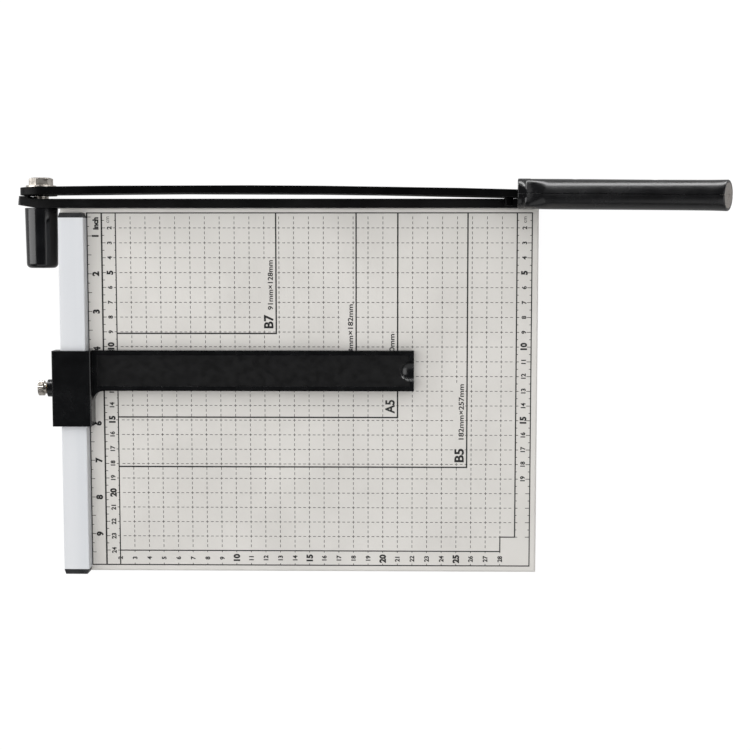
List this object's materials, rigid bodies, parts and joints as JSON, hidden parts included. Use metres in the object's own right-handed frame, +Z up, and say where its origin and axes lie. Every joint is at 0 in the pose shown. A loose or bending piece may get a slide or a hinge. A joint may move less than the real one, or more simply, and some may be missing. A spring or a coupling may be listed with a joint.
{
  "type": "paper cutter",
  "caption": "Desk guillotine for paper: printed steel table, fixed blade, hinged bowed cutting arm with a tilted grip, side fence and a sliding paper stop with a clamp screw.",
  "frame": {"origin": "middle of the outline on the desk plane, under the table", "axes": "+X along the blades from the pivot to the grip, +Y from the table to the arm, +Z up from the desk"},
  "size_m": [0.462, 0.2684, 0.1139],
  "materials": {
    "table_enamel": "warm light grey baked enamel with printed rulers, satin",
    "foot_rubber": "matt black rubber",
    "zinc_steel": "bright zinc plate",
    "black_enamel": "black enamel over steel, semi-gloss, worn at the ground edges",
    "rail_aluminium": "satin silver anodised extrusion",
    "cap_plastic": "fine-grained black moulding",
    "stop_plastic": "black moulding, grained field with smooth rims",
    "grip_plastic": "glossy black moulding",
    "spring_cap_plastic": "glossy black moulding",
    "plug_plastic": "speckled grey",
    "nickel": "dull nickel plate",
    "spring_steel": "oiled spring steel",
    "brass": "turned brass"
  },
  "bodies": {
    "base": {"base_plate": "table_enamel", "rubber_feet": "foot_rubber", "foot_screws": "zinc_steel", "foot_nuts": "zinc_steel", "fixed_blade": "black_enamel", "blade_screws": "zinc_steel", "blade_nuts": "zinc_steel", "fence_rail": "rail_aluminium", "fence_cap_near": "cap_plastic", "fence_cap_far": "cap_plastic", "fence_screws": "zinc_steel", "pivot_bolt": "nickel", "pivot_washer": "nickel", "pivot_spacer": "nickel", "spring_seat": "zinc_steel", "pivot_spring": "spring_steel", "spring_washer": "zinc_steel", "lock_nut": "zinc_steel", "spring_cap": "spring_cap_plastic"},
    "arm": {"blade_arm": "black_enamel", "rest_pin": "black_enamel", "grip_inner": "grip_plastic", "grip_outer": "grip_plastic", "grip_plug": "plug_plastic", "grip_screws": "zinc_steel"},
    "stop": {"paper_stop": "stop_plastic", "thread_insert": "brass"},
    "pad": {"clamp_pad": "zinc_steel"},
    "screw": {"thumb_screw": "nickel"}
  },
  "joints": [
    {"name": "arm_swing", "type": "hinge", "parent": "base", "child": "arm", "pos_m": [-0.21792, 0.11971, 0.015], "axis": [0, -1, 0], "range_deg": [0, 95]},
    {"name": "stop_slide", "type": "slide", "parent": "base", "child": "stop", "axis": [0, 1, 0], "range_m": [-0.096, 0.074]},
    {"name": "clamp_travel", "type": "slide", "parent": "stop", "child": "pad", "axis": [-1, 0, 0], "range_m": [0, 0.00105]},
    {"name": "clamp_turn", "type": "hinge", "parent": "pad", "child": "screw", "pos_m": [-0.21142, -0.00759, 0.031], "axis": [-1, 0, 0], "range_deg": [0, 541]}
  ],
  "couplings": [
    {"joint": "clamp_turn", "follows": "clamp_travel", "rad_per_m": 8976}
  ]
}
